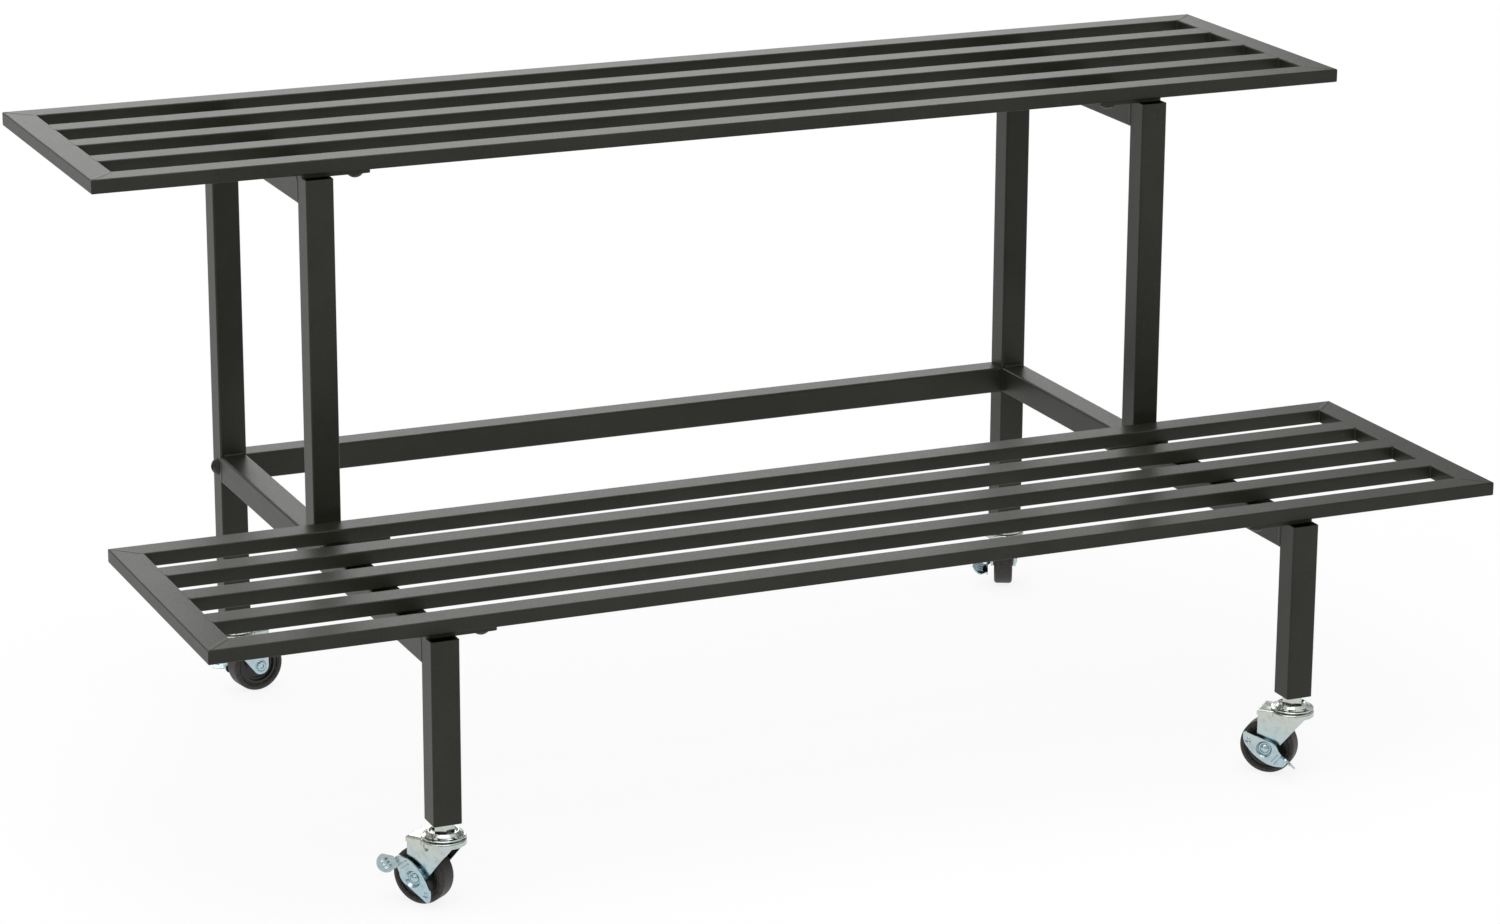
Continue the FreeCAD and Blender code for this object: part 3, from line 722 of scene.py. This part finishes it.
@dataclass
class Caster:
    """One braked swivel caster."""

    corner: Corner
    trail_angle: float
    lever_angle: float
    finishes: Finishes
    lever_inner: float = 15.5 * MM
    pedal_drop: float = 5.8 * MM
    pedal_lean: float = 28.0
    pedal_sheet: float = 1.5 * MM
    grip_radius: float = 1.2 * MM
    grip_length: float = 8.0 * MM
    grip_first: float = 19.6 * MM
    grip_pitch: float = 3.3 * MM
    grip_out: float = 9.5 * MM
    grip_count: int = 3
    grip_sides: int = 16
    grip_rounding: float = 0.9
    grip_round_steps: int = 5
    grip_crease: float = 40.0
    cheek_face: float = 12.5 * MM
    ring_radius: float = 5.4 * MM
    ring_bead: float = 0.6 * MM
    ring_sides: int = 12
    ring_steps: int = 48

    def node(self, piece: str) -> bpy.types.Object:
        """Return the modelled node of one of this caster's pieces."""
        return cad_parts["%s_caster_%s" % (self.corner.value, piece)]

    def dress(self) -> None:
        """Give the metal its zinc plate and the wheel its rubber and nylon."""
        for piece in ("stem", "nut", "fork", "axle", "brake_lever"):
            paint(self.node(piece), self.finishes.zinc)
        paint(self.node("tyre"), self.finishes.rubber)
        paint(self.node("hub"), self.finishes.nylon)
        log.info("%s caster dressed", self.corner.value)

    def wheel_place(self) -> Matrix:
        """Return the place of the wheel's middle, with X pointing the way the caster trails."""
        low, high = corners_of("%s_caster_tyre" % self.corner.value)
        return (Matrix.Translation((low + high) / 2)
                @ Matrix.Rotation(math.radians(self.trail_angle), 4, "Z"))

    def grips(self) -> None:
        """Press round-ended grip ridges through the pedal."""
        bpy.ops.object.select_all(action="DESELECT")
        bpy.ops.mesh.primitive_cylinder_add(vertices=self.grip_sides, radius=self.grip_radius,
                                            depth=self.grip_length,
                                            rotation=(math.pi / 2, 0.0, 0.0))
        ridge = bpy.context.object
        bpy.ops.object.transform_apply(location=True, rotation=True, scale=True)
        with editing():
            bpy.ops.mesh.bevel(offset=self.grip_radius * self.grip_rounding,
                               segments=self.grip_round_steps, affect="EDGES")
        repeat_along_x(ridge, self.grip_count, self.grip_pitch)
        bpy.ops.object.shade_smooth_by_angle(angle=math.radians(self.grip_crease))
        lever = self.wheel_place() @ Matrix.Rotation(-math.radians(self.lever_angle), 4, "Y")
        pedal = (Matrix.Translation((0.0, self.lever_inner, -self.pedal_drop))
                 @ Matrix.Rotation(-math.radians(self.pedal_lean), 4, "X"))
        spot = Matrix.Translation((self.grip_first, self.grip_out, self.pedal_sheet / 2))
        ridge.data.transform(lever @ pedal @ spot)
        joined([ridge], self.corner.value + "_pedal_grips", self.finishes.zinc,
               self.corner.value + "_lever")

    def axle_ring(self) -> None:
        """Raise a pressed ring round the axle's plain head."""
        bpy.ops.object.select_all(action="DESELECT")
        bpy.ops.mesh.primitive_circle_add(vertices=self.ring_sides, radius=self.ring_bead,
                                          location=(self.ring_radius, -self.cheek_face, 0.0))
        ring = bpy.context.object
        bpy.ops.object.transform_apply(location=True, rotation=True, scale=True)
        with editing():
            bpy.ops.mesh.spin(steps=self.ring_steps, angle=2 * math.pi, center=(0.0, 0.0, 0.0),
                              axis=(0.0, 1.0, 0.0))
            bpy.ops.mesh.select_all(action="SELECT")
            bpy.ops.mesh.normals_make_consistent(inside=False)
        bpy.ops.object.shade_smooth()
        ring.data.transform(self.wheel_place())
        joined([ring], self.corner.value + "_axle_ring", self.finishes.zinc,
               self.corner.value + "_swivel")

    def build(self) -> None:
        """Dress the caster and add its small pressings."""
        self.dress()
        self.grips()
        self.axle_ring()


@dataclass(frozen=True)
class SoftBox:
    """One soft light: where it hangs, the point that it faces, its size and its power."""

    name: str
    place: Point
    aim: Point
    size: tuple[float, float]
    watts: float

    def hang(self) -> None:
        """Hang the light, hidden from the camera itself."""
        bpy.ops.object.light_add(type="AREA", location=self.place)
        lamp = bpy.context.object
        lamp.name = self.name
        lamp.data.shape = "RECTANGLE"
        lamp.data.size, lamp.data.size_y = self.size
        lamp.data.energy = self.watts
        lamp.visible_camera = False
        way = Vector(self.aim) - Vector(self.place)
        lamp.rotation_euler = way.to_track_quat("-Z", "Y").to_euler()


@dataclass
class Studio:
    """Pale floor, soft light and the camera at the photograph's place."""

    floor_size: float = 40.0
    floor_gap: float = 0.2 * MM
    floor_colour: str = "#F6F6F5"
    floor_roughness: float = 0.9
    floor_white: float = 0.86
    sky_heights: Span = (0.1, 0.9)
    sky_strength: Span = (0.30, 1.05)
    soft_boxes: tuple[SoftBox, ...] = (
        SoftBox("soft_box_above", place=(-0.4, -0.6, 2.6), aim=(0.0, 0.0, 0.3),
                size=(2.2, 2.2), watts=26.0),
        SoftBox("soft_box_left", place=(-3.0, -1.6, 1.4), aim=(0.2, 0.0, 0.3),
                size=(1.6, 1.6), watts=6.0),
        SoftBox("soft_box_back", place=(0.75, 4.2, 1.6), aim=(0.1, 0.0, 0.4),
                size=(4.0, 1.6), watts=40.0))
    camera_side: float = -1.580279
    camera_ahead: float = -3.314804
    camera_height: float = 1.437835
    camera_right: Point = (0.9169623, -0.3989508, 0.0042851)
    camera_up: Point = (0.1105228, 0.2643200, 0.9580812)
    camera_reach: float = 50.0
    focal_pixels: float = 4558.1
    sensor_mm: float = 36.0

    def background_rays(self, tree: bpy.types.NodeTree) -> Socket:
        """Pick out the rays that show the background: to the camera, in gloss, through glass.

        Args:
            tree: The node tree.

        Returns:
            One for those rays, zero for light.
        """
        rays = add_node(tree, "ShaderNodeLightPath")
        seen = rays.outputs["Is Camera Ray"]
        for kind in ("Is Glossy Ray", "Is Transmission Ray"):
            both = add_node(tree, "ShaderNodeMath", {"operation": "MAXIMUM"},
                            {0: seen, 1: rays.outputs[kind]})
            seen = both.outputs[0]
        return seen

    def floor(self) -> None:
        """Lay a large pale floor that shows nearly white and keeps the soft shadow."""
        bpy.ops.object.select_all(action="DESELECT")
        bpy.ops.mesh.primitive_plane_add(size=self.floor_size, location=(0, 0, -self.floor_gap))
        floor = bpy.context.object
        floor.name = "studio_floor"
        material, tree, shader, _ = new_material("studio_floor_paper")
        shader.inputs["Base Color"].default_value = linear(self.floor_colour)
        shader.inputs["Roughness"].default_value = self.floor_roughness
        shader.inputs["Specular IOR Level"].default_value = 0.0
        glow = add_node(tree, "ShaderNodeEmission", {"[Strength]": 1.0})
        share = add_node(tree, "ShaderNodeMath", {"operation": "MULTIPLY"},
                         {0: self.background_rays(tree)})
        share.inputs[1].default_value = self.floor_white
        mix = add_node(tree, "ShaderNodeMixShader",
                       links={"Fac": share.outputs[0], 1: shader.outputs["BSDF"],
                              2: glow.outputs["Emission"]})
        output = next(node for node in tree.nodes if node.type == "OUTPUT_MATERIAL")
        connect(tree, output, {"Surface": mix.outputs[0]})
        paint(floor, material)
        log.info("floor laid")

    def sky(self) -> None:
        """Soft white surroundings, bright overhead and dimmer towards the horizon."""
        world = bpy.data.worlds.new("white_studio")
        bpy.context.scene.world = world
        world.use_nodes = True
        tree = world.node_tree
        tree.nodes.clear()
        coords = add_node(tree, "ShaderNodeTexCoord")
        height = add_node(tree, "ShaderNodeSeparateXYZ",
                          links={"Vector": coords.outputs["Generated"]})
        strength = ramp(tree, height.outputs["Z"], self.sky_heights, self.sky_strength)
        light = add_node(tree, "ShaderNodeBackground", {"[Color]": (1, 1, 1, 1)},
                         {"Strength": strength})
        add_node(tree, "ShaderNodeOutputWorld", links={"Surface": light.outputs[0]})
        log.info("surroundings made")

    def lights(self) -> None:
        """Hang the soft boxes."""
        for soft_box in self.soft_boxes:
            soft_box.hang()
        log.info("lights hung")

    def camera(self) -> None:
        """Set the camera where the photograph was taken from."""
        right = Vector(self.camera_right)
        up = Vector(self.camera_up)
        back = right.cross(up)
        bpy.ops.object.camera_add()
        camera = bpy.context.object
        turn = Matrix((right, up, back)).transposed().to_4x4()
        front = corners_of("front_leg_left")[0].y
        place = Vector((self.camera_side, front + self.camera_ahead, self.camera_height))
        camera.matrix_world = Matrix.Translation(place) @ turn
        camera.data.sensor_fit = "HORIZONTAL"
        camera.data.sensor_width = self.sensor_mm
        camera.data.lens = self.focal_pixels / PHOTO_WIDTH * self.sensor_mm
        camera.data.clip_end = self.camera_reach
        bpy.context.scene.camera = camera
        log.info("camera set")

    def build(self) -> None:
        """Build the whole studio."""
        self.floor()
        self.sky()
        self.lights()
        self.camera()


def main() -> None:
    """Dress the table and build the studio."""
    logging.basicConfig(level=logging.INFO, format="%(name)s: %(message)s")
    bpy.ops.object.select_all(action="DESELECT")
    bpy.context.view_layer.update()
    scene = bpy.context.scene
    scene.view_settings.view_transform = "Standard"
    finishes = Finishes()
    table = TableFrame(finishes)
    table.dress()
    for side in ("left", "right"):
        table.weld(side)
    for tier in ("lower", "upper"):
        shelf = Shelf(tier, finishes)
        shelf.dress()
        shelf.weld()
    for corner, (trail, lever) in REST_ANGLES.items():
        Caster(corner, trail, lever, finishes).build()
    Studio().build()


if __name__ == "__main__":
    main()
